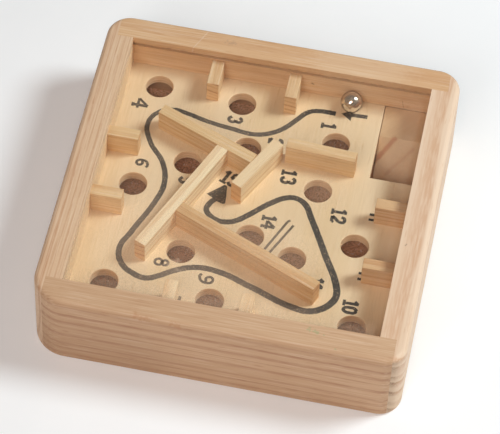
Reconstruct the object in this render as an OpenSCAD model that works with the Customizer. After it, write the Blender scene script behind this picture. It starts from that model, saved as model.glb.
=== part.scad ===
// Wooden tilt maze: a shallow box with a holed floor, glued bars, a clear cover and one steel ball.
// Origin at the bottom centre of the case, +X to the right, +Y away from the player, +Z up, millimetres.

/* [Case] */
// Outside width of the case, left to right
case_w = 130; // [112:1:160]
// Outside depth of the case, near to far
case_d = 130; // [112:1:160]
// Thickness of the left and right rails
side_rail_t = 10; // [8:0.5:13]
// Thickness of the near and far rails
end_rail_t = 10; // [8:0.5:13]
// Thickness of the lip beyond each rabbet of the left and right rails
lip_t = 4.2; // [3:0.1:5]
// Radius of the upright corner at the far right
far_right_r = 8.5; // [5:0.5:13]
// Radius of the upright corner at the far left
far_left_r = 8.5; // [5:0.5:13]
// Radius of the upright corner at the near left
near_left_r = 12; // [5:0.5:13]
// Radius of the upright corner at the near right
near_right_r = 8; // [5:0.5:13]
// Radius of the rounded outer edges at the top
top_edge_r = 2; // [0.6:0.1:2.6]
// Radius of the eased outer edges at the bottom
foot_edge_r = 1.2; // [0.6:0.1:2]

/* [Panels] */
// Depth of the grooves that hold the three panels
groove_depth = 3; // [1.5:0.5:4.5]
// Play between a panel and its groove
panel_play = 0.15; // [0.05:0.05:0.3]
// Height of the bottom panel above the table
foot_h = 1.5; // [1:0.5:4]
// Thickness of the bottom panel
bottom_t = 3; // [2:0.5:5]
// Clear height of the lower tray
tray_h = 9.3; // [8.5:0.1:14]
// Thickness of the maze floor
floor_t = 4; // [3:0.5:6]
// Thickness of the clear cover
cover_t = 2; // [1.5:0.5:4]
// Gap between the tops of the bars and the cover
cover_gap = 0.6; // [0.4:0.1:2]
// Depth of the cover below the tops of the rails
cover_recess = 3; // [2:0.1:6]

/* [Ball] */
// Diameter of the ball
ball_d = 8; // [6:0.5:8]
// Place of the resting ball along the start lane
ball_x = 27; // [20:0.5:32]
// Running gap round the ball
ball_gap = 0.1; // [0.05:0.05:0.3]

/* [Holes and notch] */
// Diameter of the holes in the floor
hole_d = 10; // [9:0.5:11]
// Width of the notch at the far right corner, measured from the right rail
notch_w = 16; // [13:0.5:18]
// Length of the notch, measured from the far rail
notch_l = 33.5; // [30:0.5:36]
// Length of the ramp's landing, measured from the far rail
landing_l = 14; // [10:0.5:16]
// Length of the ramp's slope, seen from above
slope_l = 11.5; // [9:0.5:14]
// Gap between the ramp and the edge of the notch
ramp_gap = 0.2; // [0.1:0.1:0.5]

/* [Wall blocks] */
// Width of all blocks and bars
bar_w = 4.4; // [3:0.1:5]
// Height of all blocks and bars
bar_h = 9.4; // [8:0.1:12]
// Length of a wall block
block_l = 11.2; // [8:0.1:13]
// Place of the far rail's left block
far_left_x = -23.1; // [-30:0.1:-16]
// Place of the far rail's right block
far_right_x = 5.5; // [0:0.1:9]
// Place of the left rail's far block
left_far_y = 15.2; // [10:0.1:22]
// Place of the left rail's near block
left_near_y = -11.8; // [-18:0.1:-4]
// Place of the right rail's far block
right_far_y = 3.9; // [0:0.1:10]
// Place of the right rail's near block
right_near_y = -22.5; // [-28:0.1:-16]
// Place of the near rail's left block
near_left_x = -19; // [-26:0.1:-12]
// Place of the near rail's right block
near_right_x = 7.8; // [2:0.1:14]

/* [Maze bars] */
// Length of the short bar in the middle of the maze
short_l = 24.8; // [20:0.1:28]
// Direction of the short bar
short_angle = 64; // [60:0.5:70]
// Place on the short bar where the top bar meets it, from its near end
top_on_short = 13.3; // [10:0.1:18]
// Slope of the top bar towards the right
top_angle = 22.5; // [16:0.5:28]
// Length of the top bar
top_l = 39.6; // [30:0.1:42]
// Place on the top bar where the stem meets it, from its right end
stem_on_top = 11.9; // [9:0.1:16]
// Length of the stem
stem_l = 51.2; // [44:0.1:54]
// Place on the stem where the long bar meets it, from its far end
long_on_stem = 30.3; // [26:0.1:36]
// Angle by which the long bar is out of square with the stem
long_angle = 1; // [0:0.1:4]
// Length of the long bar
long_l = 58; // [46:0.5:60]
// Gap between the far end of the short bar and the cross bar
cross_gap = 1; // [0.5:0.1:3]
// Distance by which the cross bar starts nearer than the far end of the short bar
cross_drop = 0.8; // [0:0.1:2]
// Slope of the cross bar towards the right
cross_angle = 3; // [0:0.5:5]
// Length of the cross bar
cross_l = 25.3; // [20:0.1:28]

/* [Hidden] */
$fn = 64;

// Margin by which a cut runs past the face that it opens
cut = 1;

// Play field between the rails
inner_w = case_w - 2 * side_rail_t;
inner_d = case_d - 2 * end_rail_t;

// Levels of the stack, from the table up
bottom_top = foot_h + bottom_t;
floor_low = bottom_top + tray_h;
floor_top = floor_low + floor_t;
cover_low = floor_top + bar_h + cover_gap;
case_h = cover_low + cover_t + cover_recess;

// Hole centres as shares of half the play field, in the order in which the ball passes them
hole_shares = [
    [0.445, 0.615], [-0.115, 0.45], [-0.22, 0.81], [-0.785, 0.835], [-0.47, 0.255],
    [-0.78, 0.01], [-0.79, -0.78], [-0.365, -0.45], [-0.11, -0.785], [0.80, -0.795],
    [0.335, -0.355], [0.71, -0.17], [0.40, 0.21], [0.04, -0.24]
];
// Middle of the short bar, as shares of half the play field
short_share = [-0.005, 0.217];

// Angle between the short bar and the top bar
meeting_angle = 180 - short_angle - top_angle;

// Distance that a bar keeps from the bar it meets at an angle, so that only its corner touches
function end_shift(angle) = bar_w / 2 * abs(tan(90 - angle));

// Colours of the woods, the cover and the ball
rail_tint = "#dcb795";
floor_tint = "#e6cfa0";
strip_tint = "#d9ad78";
board_tint = "#7a5234";

// Half of the section through the case, from its middle to its rounded outer edges
module eased_half(w) {
    square([w - foot_edge_r, case_h / 2]);
    translate([0, case_h / 2 - cut]) square([w - top_edge_r, case_h / 2 + cut]);
    translate([0, foot_edge_r]) square([w, case_h - foot_edge_r - top_edge_r]);
    translate([w - foot_edge_r, foot_edge_r]) circle(foot_edge_r);
    translate([w - top_edge_r, case_h - top_edge_r]) circle(top_edge_r);
}

// Far right quarter of the finished case as a solid block, with its upright corner rounded
module case_quarter(r) {
    translate([-cut, 0, 0]) rotate([90, 0, 90])
        linear_extrude(case_w / 2 - r + cut) eased_half(case_d / 2);
    translate([0, case_d / 2 - r, 0]) rotate([90, 0, 0])
        linear_extrude(case_d / 2 - r + cut) eased_half(case_w / 2);
    translate([case_w / 2 - r, case_d / 2 - r, 0])
        rotate_extrude(angle = 90) eased_half(r);
}

// Space that the grooves of the three panels take
module panel_grooves() {
    for (level = [[foot_h, bottom_t], [floor_low, floor_t], [cover_low, cover_t]])
        translate([0, 0, level[0] + (level[1] + panel_play) / 2])
            cube([inner_w + 2 * groove_depth, inner_d + 2 * groove_depth, level[1] + panel_play], center = true);
}

// Right rail: full depth, with a rabbet at each end that leaves the lip
module side_rail(far_r, near_r) {
    difference() {
        intersection() {
            union() {
                case_quarter(far_r);
                mirror([0, 1, 0]) case_quarter(near_r);
            }
            translate([inner_w / 2, -case_d / 2 - cut, -cut])
                cube([side_rail_t + cut, case_d + 2 * cut, case_h + 2 * cut]);
        }
        for (flip = [0, 1])
            mirror([0, flip, 0]) translate([inner_w / 2 - cut, inner_d / 2, -cut])
                cube([side_rail_t - lip_t + cut, end_rail_t + cut, case_h + 2 * cut]);
        panel_grooves();
    }
}

// Far rail: fills the rabbets between the lips of the side rails
module end_rail(right_r, left_r) {
    length = case_w - 2 * lip_t;
    difference() {
        intersection() {
            union() {
                case_quarter(right_r);
                mirror([1, 0, 0]) case_quarter(left_r);
            }
            translate([-length / 2, inner_d / 2, -cut])
                cube([length, end_rail_t + cut, case_h + 2 * cut]);
        }
        panel_grooves();
    }
}

// Flat sheet that sits in one groove all round
module panel(level, thickness) {
    play = groove_depth - panel_play;
    translate([-inner_w / 2 - play, -inner_d / 2 - play, level])
        cube([inner_w + 2 * play, inner_d + 2 * play, thickness]);
}

module rail_left() {
    color(rail_tint) mirror([1, 0, 0]) side_rail(far_left_r, near_left_r);
}

module rail_right() {
    color(rail_tint) side_rail(far_right_r, near_right_r);
}

module rail_near() {
    color(rail_tint) mirror([0, 1, 0]) end_rail(near_right_r, near_left_r);
}

module rail_far() {
    color(rail_tint) end_rail(far_right_r, far_left_r);
}

module clear_cover() {
    color("white", 0.3) panel(cover_low, cover_t);
}

module bottom_panel() {
    color(board_tint) panel(foot_h, bottom_t);
}

module maze_floor() {
    color(floor_tint) difference() {
        panel(floor_low, floor_t);
        for (share = hole_shares)
            translate([share[0] * inner_w / 2, share[1] * inner_d / 2, floor_low - cut])
                cylinder(d = hole_d, h = floor_t + 2 * cut);
        translate([inner_w / 2 - notch_w, inner_d / 2 - notch_l, floor_low - cut])
            cube([notch_w + groove_depth + cut, notch_l + groove_depth + cut, floor_t + 2 * cut]);
    }
}

module return_ramp() {
    far = inner_d / 2;
    slope = [
        [far, bottom_top], [far, floor_top],
        [far - landing_l, floor_top], [far - landing_l - slope_l, bottom_top]
    ];
    color(strip_tint) translate([inner_w / 2 - notch_w + ramp_gap, 0, 0])
        rotate([90, 0, 90]) linear_extrude(notch_w - ramp_gap) polygon(slope);
}

// Strip that lies along +X from the origin, on the maze floor
module strip(length) {
    color(strip_tint) translate([0, -bar_w / 2, floor_top]) cube([length, bar_w, bar_h]);
}

module block_far_left() {
    translate([far_left_x, inner_d / 2, 0]) rotate(-90) strip(block_l);
}

module block_far_right() {
    translate([far_right_x, inner_d / 2, 0]) rotate(-90) strip(block_l);
}

module block_left_far() {
    translate([-inner_w / 2, left_far_y, 0]) strip(block_l);
}

module block_left_near() {
    translate([-inner_w / 2, left_near_y, 0]) strip(block_l);
}

module block_right_far() {
    translate([inner_w / 2, right_far_y, 0]) rotate(180) strip(block_l);
}

module block_right_near() {
    translate([inner_w / 2, right_near_y, 0]) rotate(180) strip(block_l);
}

module block_near_left() {
    translate([near_left_x, -inner_d / 2, 0]) rotate(90) strip(block_l);
}

module block_near_right() {
    translate([near_right_x, -inner_d / 2, 0]) rotate(90) strip(block_l);
}

// Place at the near end of the short bar, looking along it
module at_short() {
    translate([short_share[0] * inner_w / 2, short_share[1] * inner_d / 2, 0])
        rotate(short_angle) translate([-short_l / 2, 0, 0]) children();
}

// Place at the right end of the top bar, where one corner touches the short bar
module at_top() {
    at_short() translate([top_on_short, bar_w / 2, 0])
        rotate(meeting_angle) translate([end_shift(meeting_angle), 0, 0]) children();
}

// Place at the far end of the stem, square against the top bar
module at_stem() {
    at_top() translate([stem_on_top, bar_w / 2, 0]) rotate(90) children();
}

// Place at the left end of the long bar, where one corner touches the stem
module at_long() {
    at_stem() translate([long_on_stem, bar_w / 2, 0])
        rotate(90 - long_angle) translate([end_shift(90 - long_angle), 0, 0]) children();
}

module bar_short() {
    at_short() strip(short_l);
}

module bar_top() {
    at_top() strip(top_l);
}

module bar_stem() {
    at_stem() strip(stem_l);
}

module bar_long() {
    at_long() strip(long_l);
}

module bar_cross() {
    at_short() translate([short_l, -bar_w / 2, 0]) rotate(-short_angle)
        translate([cross_gap, -cross_drop, 0]) rotate(-cross_angle) translate([0, bar_w / 2, 0]) strip(cross_l);
}

module ball() {
    color("silver") translate([ball_x, inner_d / 2 - ball_d / 2 - ball_gap, floor_top + ball_d / 2 + ball_gap])
        sphere(d = ball_d);
}

rail_left();
rail_right();
rail_near();
rail_far();
clear_cover();
maze_floor();
bottom_panel();
return_ramp();
block_far_left();
block_far_right();
block_left_far();
block_left_near();
block_right_far();
block_right_near();
block_near_left();
block_near_right();
bar_top();
bar_stem();
bar_long();
bar_short();
bar_cross();
ball();
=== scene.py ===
# %% [markdown]
# # A wooden tilt maze
# The object is a small hand-held maze: a pine case under a clear cover, a thin plywood floor with
# fourteen holes, glued strips of wood for walls, a printed route and one steel ball.
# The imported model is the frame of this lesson. It already holds every size and every joint, so the
# steps below only ease edges, grow wood grain, print the floor and set the light.

# %% Load the frame
import math
import random

import bmesh
import bpy
from mathutils import Matrix, Vector


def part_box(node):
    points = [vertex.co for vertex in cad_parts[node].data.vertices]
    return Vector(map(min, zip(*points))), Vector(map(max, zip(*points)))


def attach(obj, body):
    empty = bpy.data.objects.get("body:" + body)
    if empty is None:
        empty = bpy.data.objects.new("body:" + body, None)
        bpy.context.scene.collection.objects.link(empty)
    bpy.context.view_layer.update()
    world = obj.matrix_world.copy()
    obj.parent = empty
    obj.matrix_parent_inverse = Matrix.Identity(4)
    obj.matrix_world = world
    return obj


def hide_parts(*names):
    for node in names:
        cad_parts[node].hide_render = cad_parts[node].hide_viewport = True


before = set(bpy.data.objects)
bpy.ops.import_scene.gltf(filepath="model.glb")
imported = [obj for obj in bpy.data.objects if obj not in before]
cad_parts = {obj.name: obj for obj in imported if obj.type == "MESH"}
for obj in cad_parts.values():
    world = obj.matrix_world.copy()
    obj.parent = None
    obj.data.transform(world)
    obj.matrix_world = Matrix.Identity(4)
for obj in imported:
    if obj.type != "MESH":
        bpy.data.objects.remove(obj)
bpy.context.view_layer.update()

MM = 0.001

# %% [markdown]
# ## The camera
# The picture was taken from the near side, a little to the right, looking down at the cover.
# A long lens far away keeps the case's sides almost parallel, so the camera stands a metre off.
# Its place, the point it looks at and its small roll are named, and the lens follows from the
# width of the picture.

# %% Camera
CAMERA_AT = Vector((93.70, -594.06, 824.22)) * MM
CAMERA_AIM = Vector((0.39, -3.07, 16.0)) * MM
CAMERA_ROLL = math.radians(2.91)
FOCAL_PIXELS = 2839.0
PICTURE_WIDTH = 500
SENSOR_WIDTH = 36.0

scene = bpy.context.scene


def link(name, data):
    """Puts new object data into the scene at the origin."""
    made = bpy.data.objects.new(name, data)
    scene.collection.objects.link(made)
    return made


camera = link("photo_camera", bpy.data.cameras.new("photo_camera"))
camera.data.sensor_fit = "HORIZONTAL"
camera.data.sensor_width = SENSOR_WIDTH
camera.data.lens = FOCAL_PIXELS / PICTURE_WIDTH * SENSOR_WIDTH
look = (CAMERA_AIM - CAMERA_AT).to_track_quat("-Z", "Y").to_matrix()
camera.rotation_euler = (look @ Matrix.Rotation(CAMERA_ROLL, 3, "Z")).to_euler()
camera.location = CAMERA_AT
scene.camera = camera
print("lens in mm:", round(camera.data.lens, 1))

# %% [markdown]
# ## Small node helpers
# Materials and Geometry Nodes are both trees of nodes. Two short helpers keep the later cells
# readable: one adds a node and feeds its inputs by name or number, and one makes a group with
# named sockets. The rest are shorthands for the nodes that come up again and again.

# %% Node helpers
def add(tree, kind, feeds=None, **settings):
    """Adds a node. Settings are its own properties, feeds maps an input to a socket or a value."""
    made = tree.nodes.new(kind)
    for key, value in settings.items():
        setattr(made, key, value)
    for key, value in (feeds or {}).items():
        if isinstance(value, bpy.types.NodeSocket):
            tree.links.new(value, made.inputs[key])
        else:
            made.inputs[key].default_value = value
    return made


def new_group(name, kind, inputs, outputs):
    """A node group with named sockets, given as (name, socket kind, default) and (name, kind)."""
    group = bpy.data.node_groups.new(name, kind)
    for label, socket_kind, value in inputs:
        socket = group.interface.new_socket(label, in_out="INPUT", socket_type="NodeSocket" + socket_kind)
        if value is not None:
            socket.default_value = value
    for label, socket_kind in outputs:
        group.interface.new_socket(label, in_out="OUTPUT", socket_type="NodeSocket" + socket_kind)
    return group, group.nodes.new("NodeGroupInput").outputs, group.nodes.new("NodeGroupOutput").inputs


def calc(tree, operation, first, second=0.0, third=0.0):
    """One step of arithmetic."""
    return add(tree, "ShaderNodeMath", {0: first, 1: second, 2: third}, operation=operation).outputs[0]


def vector_calc(tree, operation, first, second=(0.0, 0.0, 0.0), out=0):
    """One step of vector arithmetic."""
    return add(tree, "ShaderNodeVectorMath", {0: first, 1: second}, operation=operation).outputs[out]


def scale_by(tree, vector, factor):
    """A vector times a number."""
    return add(tree, "ShaderNodeVectorMath", {0: vector, "Scale": factor}, operation="SCALE").outputs[0]


def part_of(tree, vector, axis):
    """One of the three numbers of a vector: 0 for x, 1 for y, 2 for z."""
    return add(tree, "ShaderNodeSeparateXYZ", {0: vector}).outputs[axis]


def ease(tree, value, low, high, to_low=0.0, to_high=1.0):
    """A smooth step from to_low to to_high while value goes from low to high."""
    feeds = {0: value, 1: low, 2: high, 3: to_low, 4: to_high}
    return add(tree, "ShaderNodeMapRange", feeds, interpolation_type="SMOOTHSTEP").outputs[0]


def cloud(tree, vector, scale, detail=2.0):
    """Soft noise from 0 to 1. Scale is in waves per metre: one number, or three for a stretched noise."""
    stretch = scale if isinstance(scale, tuple) else (scale, scale, scale)
    feeds = {"Vector": vector_calc(tree, "MULTIPLY", vector, stretch), "Scale": 1.0, "Detail": detail}
    return add(tree, "ShaderNodeTexNoise", feeds).outputs[0]


def tint(tree, share, first, second):
    """Mixes two colours."""
    feeds = {0: share, 6: first, 7: second}
    return add(tree, "ShaderNodeMix", feeds, data_type="RGBA").outputs[2]


def paint(red, green, blue):
    """A colour as a paint chart gives it, from 0 to 255, in the linear values that shaders use."""
    def linear(level):
        share = level / 255
        return share / 12.92 if share <= 0.04045 else ((share + 0.055) / 1.055) ** 2.4
    return (linear(red), linear(green), linear(blue), 1.0)


def new_material(name):
    """A material with one Principled shader, and its tree, shader and object coordinates."""
    material = bpy.data.materials.new(name)
    material.use_nodes = True
    tree = material.node_tree
    shader = tree.nodes["Principled BSDF"]
    return material, tree, shader, tree.nodes.new("ShaderNodeTexCoord")


def finish(tree, shader, colour, rough, height=None, strength=0.3, depth=0.1 * MM):
    """Feeds a shader with its colour, its roughness and, where there is one, a fine relief."""
    tree.links.new(colour, shader.inputs["Base Color"])
    tree.links.new(rough, shader.inputs["Roughness"])
    if height is not None:
        bump = add(tree, "ShaderNodeBump", {"Strength": strength, "Distance": depth, "Height": height})
        tree.links.new(bump.outputs[0], shader.inputs["Normal"])


print("node helpers ready")

# %% [markdown]
# ## Light and floor
# The case stands on a plain pale floor under soft studio light. The shadows inside the maze fall
# to the left and towards the viewer, so a large lamp stands at the right and a little behind.
# A lamp low at the near side opens the near faces and gives the second spark on the ball, and a warm
# one beside the camera reaches the bottom of the holes. The dim world fills the rest.

# %% Studio light
WORLD_LEVEL = 0.14
WORLD_COLOUR = (1.0, 0.82, 0.69)
LAMPS = {
    "key_softbox": dict(towards=(0.60, 0.23, 0.77), far=1.1, size=0.38, watts=8.2,
                        colour=(0.91, 1.0, 1.01)),
    "front_lamp": dict(towards=(-0.20, -0.74, 0.64), far=1.2, size=0.45, watts=3.1,
                       colour=(1.0, 0.97, 0.93)),
    "camera_lamp": dict(towards=(0.05, -0.58, 0.81), far=1.2, size=0.30, watts=2.8,
                        colour=(1.0, 0.79, 0.70)),
}

scene.view_settings.view_transform = "Standard"
world = bpy.data.worlds.new("pale_studio")
world.use_nodes = True
world.node_tree.nodes["Background"].inputs["Color"].default_value = (*WORLD_COLOUR, 1.0)
world.node_tree.nodes["Background"].inputs["Strength"].default_value = WORLD_LEVEL
scene.world = world

for name, lamp in LAMPS.items():
    data = bpy.data.lights.new(name, "AREA")
    data.shape = "DISK"
    data.size = lamp["size"]
    data.energy = lamp["watts"]
    data.color = lamp["colour"]
    made = link(name, data)
    direction = Vector(lamp["towards"]).normalized()
    made.location = direction * lamp["far"]
    made.rotation_euler = direction.to_track_quat("Z", "Y").to_euler()
print("lamps:", ", ".join(LAMPS))

# %% Pale floor
FLOOR_REACH = 3.0
FLOOR_GLOW = 0.12

material, tree, shader, coords = new_material("pale_floor")
speckle = cloud(tree, coords.outputs["Object"], 40.0)
colour = tint(tree, speckle, paint(242, 245, 249), paint(236, 239, 243))
tree.links.new(colour, shader.inputs["Base Color"])
shader.inputs["Roughness"].default_value = 0.9
shader.inputs["Emission Color"].default_value = (1.0, 1.0, 1.0, 1.0)
shader.inputs["Emission Strength"].default_value = FLOOR_GLOW

mesh = bpy.data.meshes.new("pale_floor")
sides = [(-1, -1), (1, -1), (1, 1), (-1, 1)]
mesh.from_pydata([(x * FLOOR_REACH, y * FLOOR_REACH, 0.0) for x, y in sides], [], [(0, 1, 2, 3)])
mesh.materials.append(material)
floor = link("pale_floor", mesh)
print("floor:", FLOOR_REACH * 2, "m square")

# %% [markdown]
# ## Wood as a solid
# Real grain runs through the wood: lines on a face and arcs on an end are the same growth rings.
# A group of shader nodes can do the same. It takes a point of the piece, turned so that X runs
# along the grain and the heart of the tree lies on the X axis. The distance to that axis gives the
# ring, and each ring ends in a dark line of late wood. Noise bends the rings and varies their
# width and strength. A second group gives fine fibres and short pores. Because both read the
# solid, every face and every cut end of a piece agrees.

# %% Growth rings
RING_BENDS = (12.0, 60.0, 60.0)
RING_BREAKS = (150.0, 1400.0, 1400.0)
TONE_PATCHES = (7.0, 70.0, 70.0)
PACE_STEP, PACE_SWAY = 0.35, 1.6
LINE_START, START_SPREAD = 0.95, -0.25
LINE_FULL, LINE_FADES = 0.84, 0.86


def build_growth_rings():
    group, given, result = new_group(
        "growth rings", "ShaderNodeTree",
        [("Grain", "Vector", None), ("Ring spacing", "Float", 0.0025), ("Late share", "Float", 0.35),
         ("Wander", "Float", 0.0012), ("Seed", "Float", 0.0)],
        [("Line", "Float"), ("Tone", "Float")])
    grain, seed = given["Grain"], given["Seed"]
    shift = add(group, "ShaderNodeCombineXYZ", {0: seed, 1: seed, 2: seed}).outputs[0]
    bends = vector_calc(group, "ADD", vector_calc(group, "MULTIPLY", grain, RING_BENDS), shift)
    bend = add(group, "ShaderNodeTexNoise", {"Vector": bends, "Scale": 1.0}).outputs[0]
    bend = calc(group, "SUBTRACT", bend, 0.5)
    radius = vector_calc(group, "LENGTH", vector_calc(group, "MULTIPLY", grain, (0.0, 1.0, 1.0)), out=1)
    radius = calc(group, "MULTIPLY_ADD", bend, given["Wander"], radius)
    count = calc(group, "DIVIDE", radius, given["Ring spacing"])
    steps = {"W": calc(group, "MULTIPLY_ADD", count, PACE_STEP, seed), "Scale": 1.0}
    pace = add(group, "ShaderNodeTexNoise", steps, noise_dimensions="1D").outputs[0]
    count = calc(group, "MULTIPLY_ADD", pace, PACE_SWAY, count)
    number = calc(group, "ADD", calc(group, "FLOOR", count), seed)
    phase = calc(group, "FRACT", count)
    luck = add(group, "ShaderNodeTexWhiteNoise", {"W": number}, noise_dimensions="1D").outputs
    latest = calc(group, "SUBTRACT", LINE_START, given["Late share"])
    start = calc(group, "MULTIPLY_ADD", luck["Value"], START_SPREAD, latest)
    rise = ease(group, phase, start, LINE_FULL)
    drop = ease(group, phase, LINE_FADES, 1.0, 1.0, 0.0)
    dark = add(group, "ShaderNodeSeparateColor", {0: luck["Color"]}).outputs[1]
    strength = calc(group, "MULTIPLY_ADD", dark, 0.6, 0.4)
    broken = ease(group, cloud(group, grain, RING_BREAKS), 0.3, 0.6, 0.45, 1.0)
    strength = calc(group, "MULTIPLY", strength, broken)
    line = calc(group, "MULTIPLY", calc(group, "MULTIPLY", rise, drop), strength)
    tone = cloud(group, vector_calc(group, "ADD", grain, shift), TONE_PATCHES)
    group.links.new(line, result["Line"])
    group.links.new(tone, result["Tone"])
    return group


GROWTH_RINGS = build_growth_rings()
print("group:", GROWTH_RINGS.name, [s.name for s in GROWTH_RINGS.interface.items_tree])

# %% Fibres and pores
FIBRE_STRETCH = (0.03, 1.0, 1.0)
PORE_STRETCH = (0.09, 0.8, 0.8)


def build_fibres():
    group, given, result = new_group(
        "wood fibres", "ShaderNodeTree",
        [("Grain", "Vector", None), ("Fineness", "Float", 1800.0)],
        [("Fibre", "Float"), ("Pore", "Float")])
    scaled = scale_by(group, given["Grain"], given["Fineness"])
    fibre = cloud(group, scaled, FIBRE_STRETCH, 3.0)
    pore = ease(group, cloud(group, scaled, PORE_STRETCH, 1.0), 0.64, 0.76)
    group.links.new(fibre, result["Fibre"])
    group.links.new(pore, result["Pore"])
    return group


FIBRES = build_fibres()
print("group:", FIBRES.name, [s.name for s in FIBRES.interface.items_tree])

# %% [markdown]
# ## Marks, and painted shade with grime
# A used case has a scratch, a smudge and dark seams. A scratch is a short straight mark, so
# a small group measures how far a point lies from a line between two places and turns that into a
# soft mask. The dark band where the cover meets the wood is painted shade with some grime: a ragged
# band at one level, on the inside only.

# %% Mark and seam shade groups
MARK_FRAY = 900.0
SHADE_AND_GRIME_FRAY = (420.0, 420.0, 60.0)


def build_mark():
    group, given, result = new_group(
        "surface mark", "ShaderNodeTree",
        [("Point", "Vector", None), ("From", "Vector", None), ("To", "Vector", None),
         ("Width", "Float", 0.001), ("Raggedness", "Float", 0.5)],
        [("Mask", "Float")])
    span = vector_calc(group, "SUBTRACT", given["To"], given["From"])
    away = vector_calc(group, "SUBTRACT", given["Point"], given["From"])
    along = calc(group, "DIVIDE", vector_calc(group, "DOT_PRODUCT", away, span, 1),
                 vector_calc(group, "DOT_PRODUCT", span, span, 1))
    along = add(group, "ShaderNodeClamp", {0: along}).outputs[0]
    nearest = scale_by(group, span, along)
    gap = vector_calc(group, "LENGTH", vector_calc(group, "SUBTRACT", away, nearest), out=1)
    fray = calc(group, "SUBTRACT", cloud(group, given["Point"], MARK_FRAY, 3.0), 0.5)
    rough = calc(group, "MULTIPLY", given["Raggedness"], fray)
    share = calc(group, "ADD", calc(group, "DIVIDE", gap, given["Width"]), rough)
    mask = ease(group, share, 0.5, 0.1)
    group.links.new(mask, result["Mask"])
    return group


# Painted shade and grime: a dark ragged band at the cover's level, where the cover meets the wood.
def build_shade_and_grime():
    group, given, result = new_group(
        "seam grime", "ShaderNodeTree",
        [("Point", "Vector", None), ("Level", "Float", 0.0298), ("Reach", "Float", 0.0004),
         ("Inside", "Float", 0.0553)],
        [("Mask", "Float")])
    parts = add(group, "ShaderNodeSeparateXYZ", {0: given["Point"]}).outputs
    outward = calc(group, "MAXIMUM", calc(group, "ABSOLUTE", parts[0]), calc(group, "ABSOLUTE", parts[1]))
    inner = calc(group, "LESS_THAN", outward, given["Inside"])
    ragged = cloud(group, given["Point"], SHADE_AND_GRIME_FRAY, 3.0)
    reach = calc(group, "MULTIPLY", given["Reach"], ease(group, ragged, 0.35, 0.7))
    gap = calc(group, "ABSOLUTE", calc(group, "SUBTRACT", parts[2], given["Level"]))
    mask = calc(group, "MULTIPLY", calc(group, "LESS_THAN", gap, reach), inner)
    group.links.new(mask, result["Mask"])
    return group


MARK = build_mark()
SHADE_AND_GRIME = build_shade_and_grime()
print("groups:", MARK.name, "and", SHADE_AND_GRIME.name)

# %% [markdown]
# ## One recipe for all the wood
# Every wooden piece uses the same recipe with its own values: the direction of its grain, where the
# heart of the tree lay, the spacing of its rings and its colours. A Mapping node turns and moves
# the object's coordinates into the grain's own directions. Cut ends drink more finish and turn
# darker, so the recipe also compares the surface's direction with the grain.

# %% Wood recipe
PALE_FIBRE = paint(246, 228, 206)
# The colour of the painted shade and grime at the cover's seam.
SHADE_AND_GRIME_COLOUR = paint(112, 68, 44)
PORE_SHARE = 0.3
END_SHARE = 0.75
WOOD_SPECULAR = 0.35
GRAIN_RELIEF = 0.25
GRAIN_DEPTH = 0.15 * MM


def place_group(tree, group, feeds):
    """Puts a shader group into a material and feeds its named inputs."""
    return add(tree, "ShaderNodeGroup", feeds, node_tree=group).outputs


def mark_mask(tree, point, start, stop, width, ragged):
    """Where one mark lies. Its two ends and its width are in millimetres."""
    feeds = {"Point": point, "From": Vector(start) * MM, "To": Vector(stop) * MM, "Width": width * MM,
             "Raggedness": ragged}
    return place_group(tree, MARK, feeds)["Mask"]


def grain_mapping(tree, point, angle, heart):
    """Turns object coordinates so that X runs along the grain and the heart lies on the X axis."""
    turn = Matrix.Rotation(-angle, 3, "Z")
    feeds = {"Vector": point, "Rotation": (0.0, 0.0, -angle), "Location": -(turn @ Vector(heart))}
    return add(tree, "ShaderNodeMapping", feeds).outputs[0]


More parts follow.
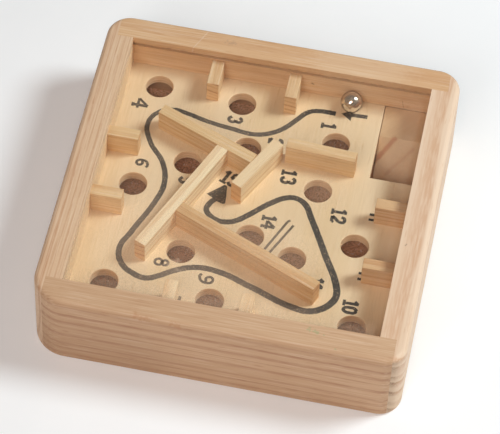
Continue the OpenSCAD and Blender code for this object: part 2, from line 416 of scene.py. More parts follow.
def wood(name, angle, heart, spacing, pale, late, line=0.8, share=0.35, wander=0.0012, seed=0.0, end=None,
         tone=None, painted_top_light=None, fibre=0.3, marks=(), shade_and_grime=0.0, gloss=0.6):
    """Pine or birch: grain angle in radians, a point on the heart line, ring spacing and colours.

    The optional end holds the two colours of a cut end, between the rings and on them. The optional
    painted_top_light is a paler colour painted on faces that look up, as painted light, and how much of it
    shows.
    """
    material, tree, shader, coords = new_material(name)
    point, normal = coords.outputs["Object"], coords.outputs["Normal"]
    grain = grain_mapping(tree, point, angle, heart)
    rings = place_group(tree, GROWTH_RINGS, {"Grain": grain, "Ring spacing": spacing, "Late share": share,
                                             "Wander": wander, "Seed": seed})
    fibres = place_group(tree, FIBRES, {"Grain": grain})
    colour = tint(tree, ease(tree, rings["Tone"], 0.35, 0.7), pale, tone or pale)
    colour = tint(tree, calc(tree, "MULTIPLY", rings["Line"], line), colour, late)
    colour = tint(tree, ease(tree, fibres["Fibre"], 0.5, 0.28, 0.0, fibre), colour, late)
    colour = tint(tree, ease(tree, fibres["Fibre"], 0.5, 0.72, 0.0, fibre), colour, PALE_FIBRE)
    colour = tint(tree, calc(tree, "MULTIPLY", fibres["Pore"], PORE_SHARE), colour, late)
    # Painted light: faces that look up are made paler than the sides, in patches that follow the fibres.
    if painted_top_light:
        top_light_colour, top_light_share = painted_top_light
        upward = ease(tree, part_of(tree, normal, 2), 0.55, 0.98)
        patchy = ease(tree, fibres["Fibre"], 0.3, 0.6, 0.4 * top_light_share, top_light_share)
        colour = tint(tree, calc(tree, "MULTIPLY", upward, patchy), colour, top_light_colour)
    if end:
        lengthwise = vector_calc(tree, "DOT_PRODUCT", normal, (math.cos(angle), math.sin(angle), 0.0), 1)
        facing = ease(tree, calc(tree, "ABSOLUTE", lengthwise), 0.5, 0.95)
        cut = tint(tree, rings["Line"], *end)
        colour = tint(tree, calc(tree, "MULTIPLY", facing, END_SHARE), colour, cut)
    for *place, mark_colour, cover in marks:
        mask = mark_mask(tree, point, *place)
        colour = tint(tree, calc(tree, "MULTIPLY", mask, cover), colour, mark_colour)
    # Painted shade and grime: the wood turns darker in a ragged band at the cover's level.
    if shade_and_grime:
        shade_and_grime_mask = place_group(tree, SHADE_AND_GRIME, {"Point": point})["Mask"]
        colour = tint(tree, calc(tree, "MULTIPLY", shade_and_grime_mask, shade_and_grime), colour, SHADE_AND_GRIME_COLOUR)
    rough = calc(tree, "MULTIPLY_ADD", fibres["Fibre"], 0.2, gloss - 0.1)
    height = calc(tree, "MULTIPLY_ADD", rings["Line"], 0.6, fibres["Fibre"])
    finish(tree, shader, colour, rough, height, GRAIN_RELIEF, GRAIN_DEPTH)
    shader.inputs["Specular IOR Level"].default_value = WOOD_SPECULAR
    return material


print("wood recipe ready")

# %% [markdown]
# ## Easing the edges
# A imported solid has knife-sharp edges, and its mesh is made of loose triangles. A copy is merged,
# its flat faces are joined, and a Bevel modifier eases every sharp edge by a fraction of a
# millimetre, as sandpaper does. The Weighted Normal modifier keeps the large faces looking flat.
# Eased edges catch a thin line of light, and where two rails meet they make the thin dark seam.

# %% Edge helper
MERGE = 0.002 * MM
FLAT_ANGLE = math.radians(0.3)
SHARP_ANGLE = math.radians(35)


def solid_copy(node):
    """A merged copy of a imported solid, with its flat faces joined."""
    shape = bmesh.new()
    shape.from_mesh(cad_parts[node].data)
    bmesh.ops.remove_doubles(shape, verts=shape.verts, dist=MERGE)
    bmesh.ops.dissolve_limit(shape, angle_limit=FLAT_ANGLE, verts=shape.verts, edges=shape.edges)
    return shape


def object_of(name, shape):
    """Turns a shape into an object of the scene."""
    mesh = bpy.data.meshes.new(name)
    shape.to_mesh(mesh)
    shape.free()
    return link(name, mesh)


def eased_piece(name, shape, radius, materials, rounds=2):
    """Makes an object of a shape, eases its sharp edges and gives it its materials."""
    piece = object_of(name, shape)
    piece.data.polygons.foreach_set("use_smooth", [True] * len(piece.data.polygons))
    bevel = piece.modifiers.new("eased edges", "BEVEL")
    bevel.width = radius
    bevel.segments = rounds
    bevel.limit_method = "ANGLE"
    bevel.angle_limit = SHARP_ANGLE
    weighted = piece.modifiers.new("flat faces", "WEIGHTED_NORMAL")
    weighted.keep_sharp = True
    graph = bpy.context.evaluated_depsgraph_get()
    plain = bpy.data.meshes.new_from_object(piece.evaluated_get(graph))
    piece.modifiers.clear()
    piece.data = plain
    plain.materials.clear()
    for material in materials:
        plain.materials.append(material)
    return piece


def stand_for(piece, node, body="case"):
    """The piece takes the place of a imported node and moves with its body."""
    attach(piece, body)
    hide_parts(node)


print("edge helper ready")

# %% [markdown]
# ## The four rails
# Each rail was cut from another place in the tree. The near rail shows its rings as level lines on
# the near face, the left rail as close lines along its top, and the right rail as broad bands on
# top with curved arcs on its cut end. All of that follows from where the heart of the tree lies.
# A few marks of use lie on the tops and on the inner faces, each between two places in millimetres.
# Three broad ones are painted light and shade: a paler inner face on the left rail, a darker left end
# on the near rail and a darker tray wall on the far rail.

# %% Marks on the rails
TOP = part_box("rail_far")[1].z / MM
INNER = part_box("rail_far")[0].y / MM
NEAR_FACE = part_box("rail_near")[0].y / MM
SCRATCH_COLOUR = paint(240, 222, 204)
SMUDGE_COLOUR = paint(140, 168, 120)
STAIN_COLOUR = paint(182, 118, 70)

SCRATCHES = [((-28.5, 64.6, TOP), (-32.7, INNER, TOP), 0.6, 1.0, SCRATCH_COLOUR, 0.32),
             ((-32.7, INNER, TOP), (-33.0, INNER, 30.4), 0.8, 1.4, SCRATCH_COLOUR, 0.3)]
GREY_SPOT = ((-20.8, 60.0, TOP), (-19.0, 60.4, TOP), 2.4, 1.6, paint(150, 128, 116), 0.3)
HAIR = ((44.9, INNER, 22.4), (45.7, INNER, 18.4), 0.35, 0.6, paint(140, 88, 52), 0.6)
KNOT = ((11.6, INNER, 23.4), (12.0, INNER, 23.2), 1.3, 1.2, paint(112, 70, 44), 0.7)
PALE_PATCH = ((22.0, 60.0, TOP), (36.0, 60.0, TOP), 34.0, 0.3, paint(238, 214, 184), 0.28)
# Painted light: the left rail's inner face is made paler along its whole length.
INNER_PAINTED_LIGHT = ((-INNER, -50.0, 23.0), (-INNER, 50.0, 23.0), 26.0, 0.2, paint(250, 222, 178), 0.5)
# Painted shade: the far rail's inner face below the floor, inside the tray, is made darker.
TRAY_WALL_PAINTED_SHADE = ((-50.0, INNER, 8.0), (30.0, INNER, 8.0), 22.0, 0.3, paint(176, 130, 100), 0.3)
SPECK = ((57.2, -15.5, TOP), (57.4, -15.1, TOP), 0.9, 1.4, paint(104, 92, 78), 0.7)
SMUDGES = [((30.8, -57.2, TOP), (34.0, -58.0, TOP), 1.5, 2.8, SMUDGE_COLOUR, 0.42),
           ((36.2, -58.3, TOP), (36.5, -58.5, TOP), 1.1, 1.6, SMUDGE_COLOUR, 0.4),
           ((41.1, -63.2, 32.6), (41.4, -63.4, 32.6), 0.9, 1.6, SMUDGE_COLOUR, 0.5)]
EDGE_STAINS = [((-28.0, -64.2, 32.2), (-23.0, -64.3, 32.2), 2.2, 3.0, STAIN_COLOUR, 0.26),
               ((-14.6, -64.6, 31.9), (-12.0, -64.7, 31.7), 1.9, 3.0, STAIN_COLOUR, 0.24)]
# Painted shade: the left end of the near rail's near face is made darker.
NEAR_LEFT_PAINTED_SHADE = ((-62.0, NEAR_FACE, 12.0), (-30.0, NEAR_FACE, 10.0), 50.0, 0.2, paint(150, 112, 84), 0.25)
print("rails: top at", round(TOP, 2), "mm, inner faces at", round(INNER, 2), "mm")

# %% Rails
ALONG_X = 0.0
ALONG_Y = math.radians(90)
PINE_LATE = paint(182, 126, 90)
PINE_END = (paint(198, 162, 130), paint(142, 100, 72))
GREY_END = (paint(200, 175, 146), paint(106, 78, 60))
RAIL_EASE = 0.18 * MM
RAILS = {
    "rail_left": dict(angle=ALONG_Y, heart=(-0.1503, 0.0, 0.0228), spacing=0.0019, pale=paint(226, 194, 162),
                      late=PINE_LATE, tone=paint(218, 184, 152), seed=3.0, line=0.55, end=PINE_END,
                      marks=[INNER_PAINTED_LIGHT]),
    "rail_right": dict(angle=ALONG_Y, heart=(0.030, 0.0, -0.028), spacing=0.0040, pale=paint(239, 213, 188),
                       late=paint(207, 160, 122), tone=paint(231, 203, 173), seed=14.0, share=0.7,
                       wander=0.004, line=0.9, fibre=0.2, end=GREY_END, marks=[SPECK]),
    # The near rail's top is painted paler than its near face: painted light.
    "rail_near": dict(angle=ALONG_X, heart=(0.0, -0.045, -0.120), spacing=0.0041, pale=paint(206, 170, 136),
                      late=paint(160, 104, 74), tone=paint(199, 162, 128), seed=6.0, share=0.36, line=0.7,
                      fibre=0.22, end=PINE_END, painted_top_light=(paint(238, 204, 170), 0.17),
                      marks=[*SMUDGES, *EDGE_STAINS, NEAR_LEFT_PAINTED_SHADE]),
    "rail_far": dict(angle=ALONG_X, heart=(0.0, 0.100, 0.110), spacing=0.0040, pale=paint(226, 190, 150),
                     late=paint(186, 130, 90), tone=paint(218, 176, 134), line=0.4, seed=8.0, end=PINE_END,
                     shade_and_grime=0.6, marks=[PALE_PATCH, TRAY_WALL_PAINTED_SHADE, *SCRATCHES, GREY_SPOT, HAIR, KNOT]),
}

for node, values in RAILS.items():
    piece = eased_piece(node + "_pine", solid_copy(node), RAIL_EASE, [wood(node + "_wood", **values)])
    stand_for(piece, node)
    print(piece.name, len(piece.data.polygons), "faces")

# %% [markdown]
# ## The maze floor
# The floor is a thin birch board. Its face is a pale yellow veneer with very fine fibres, and the
# drilled walls of the holes show the edges of its layers. One mesh carries both finishes: a face
# that looks up or down takes the veneer, and any other face takes the edge.

# %% Floor finishes
LAYERS = 3


def layered_edge(name, thickness, base):
    """The drilled or sawn edge of a layered board: bands by height, with a little fuzz."""
    material, tree, shader, coords = new_material(name)
    point = coords.outputs["Object"]
    level = calc(tree, "SUBTRACT", part_of(tree, point, 2), base)
    fuzz = cloud(tree, point, (500.0, 500.0, 900.0), 3.0)
    turns = LAYERS * math.tau / thickness
    wave = calc(tree, "MULTIPLY_ADD", level, turns, calc(tree, "MULTIPLY", fuzz, 2.5))
    wave = calc(tree, "SINE", wave)
    colour = tint(tree, ease(tree, wave, -0.6, 0.8), paint(242, 208, 168), paint(232, 194, 152))
    colour = tint(tree, ease(tree, fuzz, 0.5, 0.8, 0.0, 0.4), colour, paint(190, 140, 98))
    finish(tree, shader, colour, calc(tree, "MULTIPLY_ADD", fuzz, 0.2, 0.65), fuzz)
    return material


floor_low, floor_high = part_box("maze_floor")
FLOOR_TOP = floor_high.z
veneer = wood("birch_veneer", ALONG_Y, (-0.02, 0.0, -0.60), 0.011, paint(236, 213, 178),
              paint(202, 162, 116), line=0.16, share=0.8, seed=21.0, tone=paint(232, 206, 166), fibre=0.16,
              gloss=0.55)
drilled = layered_edge("drilled_edge", floor_high.z - floor_low.z, floor_low.z)
print("finishes:", veneer.name, "and", drilled.name)

# %% Floor board
FLAT_FACE = 0.8
FLOOR_EASE = 0.3 * MM
piece = eased_piece("maze_floor_board", solid_copy("maze_floor"), FLOOR_EASE, [veneer, drilled])
for face in piece.data.polygons:
    face.material_index = 0 if abs(face.normal.z) > FLAT_FACE else 1
stand_for(piece, "maze_floor")
print(piece.name, len(piece.data.polygons), "faces, top at", round(FLOOR_TOP / MM, 2), "mm")

# %% [markdown]
# ## Bars and blocks
# The walls of the maze are short lengths of one square-edged strip. Each lies at its own angle, and
# its longest edge tells which way its grain runs. A seeded draw gives each its own heart line, so no
# two strips show the same lines.

# %% Strip values
BARS = ["bar_top", "bar_stem", "bar_long", "bar_short", "bar_cross"]
BLOCKS = ["block_far_left", "block_far_right", "block_left_far", "block_left_near",
          "block_right_far", "block_right_near", "block_near_left", "block_near_right"]
STRIP_TINTS = {"bar_top": (228, 194, 146), "bar_stem": (253, 231, 193), "bar_long": (220, 181, 132),
               "bar_short": (247, 223, 183), "bar_cross": (232, 200, 154), "block_far": (234, 204, 162),
               "block_left": (232, 199, 152), "block_right": (218, 180, 136), "block_near": (246, 220, 180)}
STRIP_SHADE = (0.78, 0.60, 0.46, 1.0)
STRIP_END = (paint(222, 170, 116), paint(178, 108, 66))
BLOCK_END = (paint(232, 190, 142), paint(182, 122, 78))
PLAIN_LINE = 0.85
BOLD_LINES = {"bar_short": 1.7, "bar_stem": 1.1}
STRIP_EASE = 0.15 * MM


def length_angle(shape):
    """The direction of the longest level edge."""
    edges = [edge.verts[1].co - edge.verts[0].co for edge in shape.edges]
    longest = max((edge for edge in edges if abs(edge.z) < MERGE), key=lambda edge: edge.length)
    return math.atan2(longest.y, longest.x)


print("strips:", len(BARS), "bars and", len(BLOCKS), "blocks")

# %% Bars and blocks
draw = random.Random(4)
for node in BARS + BLOCKS:
    shape = solid_copy(node)
    angle = length_angle(shape)
    low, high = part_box(node)
    lean = draw.uniform(-0.3, 0.3)
    away = Vector((0.0, math.sin(lean), math.cos(lean))) * draw.uniform(0.03, 0.06) * draw.choice((-1, 1))
    heart = (low + high) / 2 + Matrix.Rotation(angle, 3, "Z") @ away
    pale = Vector(paint(*next(STRIP_TINTS[family] for family in STRIP_TINTS if node.startswith(family))))
    late = Vector(level * shade for level, shade in zip(pale, STRIP_SHADE))
    strip = wood(node + "_wood", angle, heart, draw.uniform(0.0018, 0.0028), pale, late,
                 seed=draw.uniform(0, 50), end=STRIP_END if node in BARS else BLOCK_END,
                 tone=pale.lerp(late, 0.2), line=BOLD_LINES.get(node, PLAIN_LINE))
    piece = eased_piece(node + "_strip", shape, STRIP_EASE, [strip])
    stand_for(piece, node)
    print(piece.name, "grain at", round(math.degrees(angle), 1), "degrees")

# %% [markdown]
# ## The return ramp
# A block of the same wood fills the notch at the far right corner: a landing level with the floor,
# then a slope down to the bottom panel. It was cut across a growth ring, which runs over the slope as
# a reddish line. The pale band beside it is painted light, and a fainter reddish line runs along its far
# side.

# %% Ramp
RAMP_GRAIN = math.radians(52)
RING_COLOUR = paint(178, 112, 76)
RAMP_RING = ((44.9, 41.0, 17.8), (38.2, 33.9, 9.6), 2.6, 0.5, RING_COLOUR, 0.75)
# Painted light: a pale band over the slope where a second lamp falls.
RAMP_PAINTED_LIGHT_BAND = ((49.5, 41.5, 18.2), (39.5, 32.5, 8.0), 8.0, 0.3, paint(236, 208, 174), 0.35)
RAMP_EDGE = ((52.0, 39.1, 15.6), (43.5, 32.0, 7.4), 1.8, 0.5, RING_COLOUR, 0.3)
ramp_wood = wood("ramp_wood", RAMP_GRAIN, (0.02, 0.02, -0.02), 0.0075, paint(212, 178, 138),
                 paint(188, 138, 98), line=0.1, share=0.5, seed=2.0, tone=paint(206, 168, 128), fibre=0.12,
                 marks=[RAMP_PAINTED_LIGHT_BAND, RAMP_EDGE, RAMP_RING])
piece = eased_piece("return_ramp_block", solid_copy("return_ramp"), STRIP_EASE, [ramp_wood])
stand_for(piece, "return_ramp")
print(piece.name, len(piece.data.polygons), "faces")

# %% [markdown]
# ## The bottom panel
# Hardboard is pressed from wood fibres: dark brown, with pale and black specks. It closes the case
# below and shows at the bottom of each hole. Two noises of different size give the mottling, and a
# threshold on a third picks out single pale fibres. Three broad pale patches lighten it under some holes.

# %% Hardboard
PANEL_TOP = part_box("bottom_panel")[1].z / MM
TRAY_PALE_PATCHES = [((1.0, -3.5), (17.0, -10.0), 30.0, 0.65), ((20.5, 20.0), (20.5, 22.0), 30.0, 0.65),
             ((-46.0, 53.0), (-10.0, 52.0), 16.0, 0.5)]
TRAY_PALE_COLOUR = paint(255, 222, 186)
TRAY_PALE_RAGGED = 0.4

material, tree, shader, coords = new_material("hardboard")
point = coords.outputs["Object"]
mottle = cloud(tree, point, 300.0, 4.0)
fine = cloud(tree, point, 2300.0, 1.0)
flecks = ease(tree, cloud(tree, point, (1900.0, 1500.0, 1900.0), 1.0), 0.62, 0.7)
colour = tint(tree, ease(tree, mottle, 0.3, 0.7), paint(217, 154, 114), paint(237, 180, 140))
# Broad pale patches that lighten the board under some of the holes.
for start, stop, width, cover in TRAY_PALE_PATCHES:
    mask = mark_mask(tree, point, (*start, PANEL_TOP), (*stop, PANEL_TOP), width, TRAY_PALE_RAGGED)
    colour = tint(tree, calc(tree, "MULTIPLY", mask, cover), colour, TRAY_PALE_COLOUR)
colour = tint(tree, ease(tree, fine, 0.45, 0.7, 0.0, 0.7), colour, paint(136, 84, 58))
colour = tint(tree, calc(tree, "MULTIPLY", flecks, 0.7), colour, paint(255, 238, 220))
finish(tree, shader, colour, calc(tree, "MULTIPLY_ADD", fine, 0.25, 0.55), fine)

piece = eased_piece("bottom_panel_board", solid_copy("bottom_panel"), STRIP_EASE, [material])
stand_for(piece, "bottom_panel")
print(piece.name, len(piece.data.polygons), "faces")

# %% [markdown]
# ## The clear cover
# The cover is a two-millimetre sheet of clear plastic. A Principled shader with full transmission
# bends the view through it as the real sheet does. That shader would keep lamp light out of the case,
# so shadow rays and diffuse rays, and only those, meet a Transparent shader instead. Fine hairline
# scratches and faint haze change its roughness.

# %% Cover
COVER_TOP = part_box("clear_cover")[1].z
COVER_EASE = 0.1 * MM
PLASTIC_IOR = 1.49

material, tree, shader, coords = new_material("clear_sheet")
point = coords.outputs["Object"]
haze = ease(tree, cloud(tree, point, 45.0, 3.0), 0.4, 0.75, 0.0, 0.03)
hairlines = ease(tree, cloud(tree, point, (2400.0, 90.0, 90.0), 2.0), 0.66, 0.72)
tree.links.new(calc(tree, "MULTIPLY_ADD", hairlines, 0.05, haze), shader.inputs["Roughness"])
shader.inputs["Base Color"].default_value = (0.985, 0.98, 0.965, 1.0)
shader.inputs["Transmission Weight"].default_value = 1.0
shader.inputs["IOR"].default_value = PLASTIC_IOR
through = add(tree, "ShaderNodeBsdfTransparent").outputs[0]
path = add(tree, "ShaderNodeLightPath").outputs
surface = shader.outputs[0]
for ray in ("Is Diffuse Ray", "Is Shadow Ray"):
    surface = add(tree, "ShaderNodeMixShader", {0: path[ray], 1: surface, 2: through}).outputs[0]
tree.links.new(surface, tree.nodes["Material Output"].inputs["Surface"])

piece = eased_piece("clear_cover_sheet", solid_copy("clear_cover"), COVER_EASE, [material], rounds=1)
stand_for(piece, "clear_cover")
print(piece.name, "top at", round(COVER_TOP / MM, 2), "mm")

# %% [markdown]
# ## Dust on the cover
# A film of pale wood dust dims the view through the cover, most of all near the player. It is a sheet
# of its own, a few hundredths of a millimetre thick, and only its alpha shows where the dust lies: soft
# patches, most of all along the near edge, and two scuffs. Such a thin film takes no light from the
# maze, so it is hidden from shadow rays and diffuse rays.

# %% Dust film
FILM_FROM = COVER_TOP + 0.01 * MM
FILM_TO = COVER_TOP + 0.03 * MM
FILM_LEVEL = (FILM_FROM + FILM_TO) / 2 / MM
FILM_REACH = 54.8 * MM
LEAST_DUST, MOST_DUST = 0.01, 0.8
DUST = [((-38.0, -28.0), (0.0, -46.0), 60.0, 0.2, 0.055), ((-50.0, -55.0), (50.0, -55.0), 18.0, 0.3, 0.085),
        ((4.0, -21.0), (22.0, -29.0), 26.0, 0.3, 0.062), ((24.0, 3.0), (25.0, 5.0), 22.0, 0.3, 0.04),
        ((-12.0, 18.0), (26.0, 25.0), 24.0, 0.3, 0.02), ((51.0, 44.0), (51.0, 20.0), 24.0, 0.4, 0.038),
        ((54.0, 8.0), (54.0, -30.0), 16.0, 0.4, 0.02), ((-21.4, -38.6), (-18.6, -37.0), 2.6, 2.6, 0.09),
        ((-18.6, -41.2), (-16.4, -40.6), 2.4, 2.6, 0.07)]

material, tree, shader, coords = new_material("dust_film")
point = coords.outputs["Object"]
patches = LEAST_DUST
for start, stop, width, ragged, strength in DUST:
    mask = mark_mask(tree, point, (*start, FILM_LEVEL), (*stop, FILM_LEVEL), width, ragged)
    patches = calc(tree, "MULTIPLY_ADD", mask, strength, patches)
grains = ease(tree, cloud(tree, point, 2400.0, 1.0), 0.35, 0.7, 0.75, 1.3)
dust = calc(tree, "MINIMUM", calc(tree, "MULTIPLY", patches, grains), MOST_DUST)
tree.links.new(dust, shader.inputs["Alpha"])
colour = tint(tree, cloud(tree, point, 900.0), paint(255, 226, 198), paint(250, 214, 184))
tree.links.new(colour, shader.inputs["Base Color"])
shader.inputs["Roughness"].default_value = 0.9
shader.inputs["Specular IOR Level"].default_value = 0.1

shape = bmesh.new()
bmesh.ops.create_cube(shape, size=2.0)
for corner in shape.verts:
    level = FILM_TO if corner.co.z > 0 else FILM_FROM
    corner.co = (FILM_REACH * corner.co.x, FILM_REACH * corner.co.y, level)
piece = object_of("cover_dust", shape)
piece.data.materials.append(material)
piece.visible_shadow = False
piece.visible_diffuse = False
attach(piece, "case")
print(piece.name, "from", round(FILM_FROM / MM, 2), "to", round(FILM_TO / MM, 2), "mm")

# %% [markdown]
# ## The ball
# A bearing ball is ground and polished until it mirrors the maze around it. A cube whose faces are
# divided and pushed out to the radius gives an even mesh with no poles. Smooth noise in the roughness
# stands for the film that fingers leave.

# %% Ball
BALL_CUTS = 23
low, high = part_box("ball")
BALL_AT = (low + high) / 2
BALL_RADIUS = (high.x - low.x) / 2

material, tree, shader, coords = new_material("polished_steel")
film = cloud(tree, coords.outputs["Object"], 260.0, 3.0)
colour = tint(tree, film, paint(232, 222, 210), paint(214, 202, 188))
finish(tree, shader, colour, ease(tree, film, 0.35, 0.75, 0.05, 0.16))
shader.inputs["Metallic"].default_value = 0.92
shader.inputs["Specular Tint"].default_value = (0.3, 0.28, 0.26, 1.0)

shape = bmesh.new()
bmesh.ops.create_cube(shape, size=2.0)
bmesh.ops.subdivide_edges(shape, edges=shape.edges, cuts=BALL_CUTS, use_grid_fill=True)
for corner in shape.verts:
    corner.co = BALL_AT + corner.co.normalized() * BALL_RADIUS
for face in shape.faces:
    face.smooth = True
piece = object_of("steel_ball", shape)
piece.data.materials.append(material)
stand_for(piece, "ball", "ball")
print(piece.name, "radius", round(BALL_RADIUS / MM, 2), "mm at", [round(v / MM, 1) for v in BALL_AT])

# %% [markdown]
# ## The printed floor
# The route, the numbers and the marks are stamped on the floor in black ink. Each is a line with a
# width, so one Geometry Nodes tree prints them all. An open line becomes a flat ribbon, and a closed
# outline becomes a filled patch. A fixed noise roughens the edges as ink does on wood. The ribbons
# are three hundredths of a millimetre thick and lie on the board.

# %% Ink
def ink(name, dark, pale_ink, gaps):
    """Ink that turns lighter towards the left, in soft patches. Gaps is how much of the wood shows as
    specks.
    """
    material, tree, shader, coords = new_material(name)
    point = coords.outputs["Object"]
    patchiness = cloud(tree, point, (70.0, 40.0, 70.0), 3.0)
    lightening = calc(tree, "MULTIPLY_ADD", part_of(tree, point, 0), -2.0, patchiness)
    speckle = cloud(tree, point, 2000.0, 1.0)
    colour = tint(tree, ease(tree, lightening, 0.32, 0.66), dark, pale_ink)
    colour = tint(tree, ease(tree, speckle, 0.6, 0.7, 0.0, gaps), colour, paint(186, 162, 130))
    finish(tree, shader, colour, calc(tree, "MULTIPLY_ADD", speckle, 0.3, 0.5))
    return material


STAMP_INK = ink("stamp_ink", paint(34, 31, 28), paint(84, 75, 66), 0.6)
THIN_INK = ink("thin_ink", paint(92, 80, 68), paint(108, 94, 78), 0.5)
print("inks:", STAMP_INK.name, "and", THIN_INK.name)

# %% Printing tree
EDGE_FRAY = (2600.0, 2600.0, 0.0)
SEAL = 0.002 * MM


def joined(tree, *sources):
    """Joins the geometry of several nodes."""
    made = add(tree, "GeometryNodeJoinGeometry")
    for source in sources:
        tree.links.new(source, made.inputs[0])
    return made.outputs[0]


def build_print_tree():
    tree, given, result = new_group(
        "stamped print", "GeometryNodeTree",
        [("Lines", "Geometry", None), ("Line width", "Float", 0.002), ("Ink height", "Float", 0.00003),
         ("Step", "Float", 0.0004), ("Ragged edge", "Float", 0.0001), ("Seed", "Float", 1.0),
         ("Board level", "Float", 0.0), ("Ink", "Material", None)],
        [("Print", "Geometry")])
    height = given["Ink height"]

    def step(kind, feeds, **settings):
        """One node of the tree, and its first output."""
        return add(tree, kind, feeds, **settings).outputs[0]

    lines = {"Curve": given["Lines"], "Length": given["Step"]}
    fine = step("GeometryNodeResampleCurve", lines, mode="LENGTH")
    closed = step("GeometryNodeInputSplineCyclic", {})
    split = add(tree, "GeometryNodeSeparateGeometry", {0: fine, 1: closed}, domain="CURVE").outputs
    level = step("GeometryNodeSetCurveNormal", {0: split["Inverted"]}, mode="Z_UP")
    band = step("GeometryNodeCurvePrimitiveQuadrilateral", {0: given["Line width"], 1: height})
    weight = step("GeometryNodeInputRadius", {})
    ribbon = step("GeometryNodeCurveToMesh", {"Curve": level, "Profile Curve": band, "Scale": weight,
                                              "Fill Caps": True})
    half = step("ShaderNodeCombineXYZ", {2: calc(tree, "MULTIPLY", height, 0.5)})
    lifted = step("GeometryNodeSetPosition", {0: ribbon, "Offset": half})
    patch = step("GeometryNodeFillCurve", {0: split["Selection"]}, mode="NGONS")
    raised = step("GeometryNodeExtrudeMesh", {0: patch, "Offset Scale": height, "Individual": False})
    under = step("GeometryNodeFlipFaces", {0: patch})
    sealed = step("GeometryNodeMergeByDistance", {0: joined(tree, raised, under), "Distance": SEAL})
    both = joined(tree, lifted, sealed)
    place = vector_calc(tree, "MULTIPLY", step("GeometryNodeInputPosition", {}), EDGE_FRAY)
    noise = {"Vector": place, "W": given["Seed"], "Scale": 1.0, "Detail": 2.0}
    wobble = add(tree, "ShaderNodeTexNoise", noise, noise_dimensions="4D").outputs[1]
    wobble = vector_calc(tree, "SUBTRACT", wobble, (0.5, 0.5, 0.5))
    wobble = vector_calc(tree, "MULTIPLY", wobble, (2.0, 2.0, 0.0))
    shove = scale_by(tree, wobble, given["Ragged edge"])
    board = step("ShaderNodeCombineXYZ", {2: given["Board level"]})
    ragged = step("GeometryNodeSetPosition", {0: both, "Offset": vector_calc(tree, "ADD", shove, board)})
    real = step("GeometryNodeRealizeInstances", {0: ragged})
    flat = step("GeometryNodeSetShadeSmooth", {0: real, "Shade Smooth": False})
    inked = step("GeometryNodeSetMaterial", {0: flat, "Material": given["Ink"]})
    tree.links.new(inked, result[0])
    return tree


PRINT_TREE = build_print_tree()
print("tree:", PRINT_TREE.name, [s.name for s in PRINT_TREE.interface.items_tree])

# %% Printing
INK_HEIGHT = 0.03 * MM
CURVE_STEPS = 12


def print_lines(name, lines, width, seed, step=0.2, ragged=0.2, swell=(0.0, 0.0), ink=STAMP_INK):
    """Prints lines on the floor. Each line is (points in mm, weight, closed, smooth).

    Swell is how much bolder the print gets for each millimetre to the right and away from the player.
    """
    curve = bpy.data.curves.new(name, "CURVE")
    curve.dimensions = "3D"
    for points, weight, closed, smooth in lines:
        spline = curve.splines.new("BEZIER")
        spline.bezier_points.add(len(points) - 1)
        spline.use_cyclic_u = closed
        spline.resolution_u = CURVE_STEPS
        for knot, (x, y) in zip(spline.bezier_points, points):
            knot.co = (x * MM, y * MM, 0.0)
            knot.radius = weight * (1 + swell[0] * x + swell[1] * y)
            knot.handle_left_type = knot.handle_right_type = "AUTO" if smooth else "VECTOR"
    drawn = link(name + "_lines", curve)
    modifier = drawn.modifiers.new("stamped print", "NODES")
    modifier.node_group = PRINT_TREE
    sizes = {"Line width": width * MM, "Ink height": INK_HEIGHT, "Step": step * MM,
             "Ragged edge": ragged * MM, "Seed": seed, "Board level": FLOOR_TOP, "Ink": ink}
    for socket in PRINT_TREE.interface.items_tree:
        if socket.name in sizes:
            modifier[socket.identifier] = sizes[socket.name]
    graph = bpy.context.evaluated_depsgraph_get()
    printed = link(name, bpy.data.meshes.new_from_object(drawn.evaluated_get(graph)))
    bpy.data.objects.remove(drawn)
    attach(printed, "case")
    print(printed.name, len(printed.data.polygons), "faces")


print("printing ready")

# %% [markdown]
# ## Route and arrows
# The route starts with an arrow under the ball, goes round the whole floor and ends at the middle in
# a broad arrowhead. Smooth handles turn a few chosen points into one flowing line.

# %% Route
ROUTE = [(22, 47.5), (16.2, 47.4), (12.3, 46.1), (9, 42.1), (5.2, 37.1), (0.6, 33.5), (-5, 31.7),
         (-14, 32.5), (-23, 33.9), (-31, 35.9), (-35.5, 36.5), (-40.7, 34.4), (-43.6, 28.2), (-41.2, 20.7),
         (-34.2, 11.2), (-32, 2.3), (-33.4, -5.4), (-38.8, -20.4), (-41.3, -28.4), (-38.7, -34.8),
         (-33.9, -37.8), (-29.7, -38.7), (-25.1, -36.6), (-20.7, -33.5), (-13.5, -30.5), (-5, -30.7),
         (6.5, -34.4), (24, -40.1), (28.5, -40.2), (32.5, -38.3), (35.6, -34.8), (36.5, -31.9),
         (35.8, -27.8), (29.9, -16), (21.9, -0.8), (18.6, 4.8), (15.1, 6.6), (11.7, 6.1), (7.6, 3.4),
         (-0.1, -4.3), (-3.5, -7.4), (-7.1, -9), (-10.8, -8.8), (-13.9, -6.9), (-15.1, -4.8), (-14.6, -2.5),
         (-12.6, 0.6)]
END_ARROW = [(-16.3, 1.8), (-10.9, 7.0), (-9.9, 6.7), (-9.4, 2.8), (-9.1, -1.0), (-9.8, -1.5),
             (-12.5, -0.6), (-14.2, 0.6)]
START_STEM = [(33.5, 48.4), (27.6, 48.2)]
START_ARROW = [(24.0, 48.1), (27.9, 50.3), (27.9, 45.3)]
STEM_WEIGHT = 0.84
ROUTE_WIDTH = 2.14
ROUTE_SWELL = (0.0025, -0.0025)

route_lines = [(ROUTE, 1.0, False, True), (END_ARROW, 1.0, True, False),
               (START_STEM, STEM_WEIGHT, False, False), (START_ARROW, 1.0, True, False)]
print_lines("printed_route", route_lines, ROUTE_WIDTH, 1.0, step=0.3, ragged=0.3, swell=ROUTE_SWELL)

# %% [markdown]
# ## Numbers and marks
# Each hole has its number. The digits are plain strokes drawn in a box one unit wide and one high,
# with a heavy stem and light feet. A number is placed by its middle and by the direction of its top.

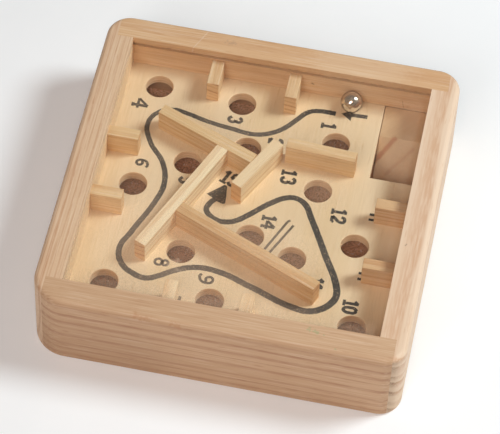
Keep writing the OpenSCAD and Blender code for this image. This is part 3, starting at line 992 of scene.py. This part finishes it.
# %% Digits
HEAVY, LIGHT = 1.0, 0.82
DIGITS = {
    "0": [([(0, 1), (-0.36, 0.8), (-0.4, 0.5), (-0.36, 0.2), (0, 0), (0.36, 0.2), (0.4, 0.5), (0.36, 0.8),
            (0, 1)], HEAVY, True)],
    "1": [([(0, -0.05), (0, 1.05)], HEAVY, False), ([(-0.46, -0.04), (0.46, -0.04)], LIGHT, False),
          ([(-0.44, 0.76), (0, 1.02)], LIGHT, False)],
    "2": [([(-0.42, 0.72), (-0.3, 0.93), (0, 1), (0.34, 0.93), (0.42, 0.72), (0.24, 0.48), (-0.12, 0.26),
            (-0.42, 0.04)], HEAVY, True),
          ([(-0.44, 0.03), (0.46, 0.03)], HEAVY, False), ([(0.46, 0.03), (0.5, 0.2)], LIGHT, False)],
    "3": [([(-0.42, 0.8), (-0.22, 0.98), (0.1, 1), (0.38, 0.86), (0.36, 0.66), (0.1, 0.54)], HEAVY, True),
          ([(0.1, 0.54), (0.4, 0.44), (0.45, 0.2), (0.2, 0.01), (-0.15, 0), (-0.44, 0.2)], HEAVY, True)],
    "4": [([(0.22, -0.02), (0.22, 1.02)], HEAVY, False), ([(0.22, 1.02), (-0.74, 0.36)], LIGHT, False),
          ([(-0.78, 0.35), (0.68, 0.35)], LIGHT, False), ([(-0.04, 0), (0.5, 0)], LIGHT, False)],
    "5": [([(0.4, 1), (-0.32, 1)], HEAVY, False), ([(-0.32, 1), (-0.36, 0.55)], LIGHT, False),
          ([(-0.36, 0.55), (-0.1, 0.64), (0.24, 0.58), (0.43, 0.36), (0.33, 0.1), (0.02, 0),
            (-0.42, 0.16)], HEAVY, True)],
    "7": [([(-0.44, 1), (0.44, 1)], HEAVY, False), ([(0.44, 1), (0.1, 0.5), (-0.1, 0)], HEAVY, True)],
    "8": [([(0, 0.55), (-0.38, 0.44), (-0.44, 0.18), (0, 0), (0.44, 0.18), (0.38, 0.44),
            (0, 0.55)], LIGHT, True),
          ([(0, 0.55), (-0.33, 0.66), (-0.35, 0.88), (0, 1), (0.35, 0.88), (0.33, 0.66),
            (0, 0.55)], LIGHT, True)],
    "9": [([(-0.62, 0.1), (-0.34, -0.02), (0.12, 0.02), (0.5, 0.2), (0.64, 0.5), (0.54, 0.85), (0.1, 1),
            (-0.28, 0.88), (-0.3, 0.62), (0.05, 0.47), (0.45, 0.54)], LIGHT, True)],
}
DIGITS["6"] = [([(-u, 1 - v) for u, v in points], weight, smooth) for points, weight, smooth in DIGITS["9"]]
DIGIT_HEIGHT = 4.7
DIGIT_WIDTH = 2.7
DIGIT_STROKE = 1.2


def number_lines(number, middle, size=1.0, pitch=3.2, top_angle=0.0):
    """The strokes of a number, its top turned to top_angle degrees from the x axis."""
    up = Vector((math.cos(math.radians(top_angle)), math.sin(math.radians(top_angle))))
    right = Vector((up.y, -up.x))
    lines = []
    for place, digit in enumerate(number):
        centre = Vector(middle) + right * pitch * (place - (len(number) - 1) / 2)
        for points, weight, smooth in DIGITS[digit]:
            strokes = [right * u * DIGIT_WIDTH + up * (v - 0.5) * DIGIT_HEIGHT for u, v in points]
            lines.append(([tuple(centre + stroke * size) for stroke in strokes], weight, False, smooth))
    return lines


print("digits:", ", ".join(sorted(DIGITS)))

# %% Numbers and marks
NUMBERS = {"1": ((20.7, 41.2),), "2": ((3.1, 30.1),), "3": ((-13.1, 36.8), 0.96),
           "4": ((-48.2, 36.5), 1.15), "5": ((-24.6, 6.0),), "6": ((-41.7, 10.0), 0.86),
           "7": ((-43.5, -50.6),), "8": ((-25.6, -30.9),), "9": ((-8.9, -34.4),),
           "10": ((42.2, -35.3), 1.0, 2.8), "11": ((28.7, -28.3), 1.0, 2.5), "12": ((31.3, 2.3),),
           "13": ((10.8, 15.5),), "14": ((7.7, -5.7), 0.94, 3.0), "15": ((-9.6, 10.2), 1.08, 2.9, 67.5)}
strokes = [line for number, place in NUMBERS.items() for line in number_lines(number, *place)]
print_lines("printed_numbers", strokes, DIGIT_STROKE, 2.0, ragged=0.12)

PLACE_LINES = [[(14.9, -3.4), (14.1, -4.1), (8.4, -17.6)], [(16.4, -5.3), (10.4, -18.6)]]
BLOCK_LINES = [[(41.8, 5.4), (44.4, 5.4)], [(41.8, 3.1), (44.4, 3.1)], [(42.4, -20.5), (44.4, -20.5)],
               [(42.4, -23.0), (44.4, -23.0)], [(-16.2, -45.6), (-16.2, -43.6)]]
place_strokes = [(line, 1.0, False, False) for line in PLACE_LINES]
block_strokes = [(line, 1.0, False, False) for line in BLOCK_LINES]
print_lines("place_lines", place_strokes, 0.9, 3.0, ragged=0.14, ink=THIN_INK)
print_lines("block_lines", block_strokes, 1.05, 4.0, ragged=0.1)
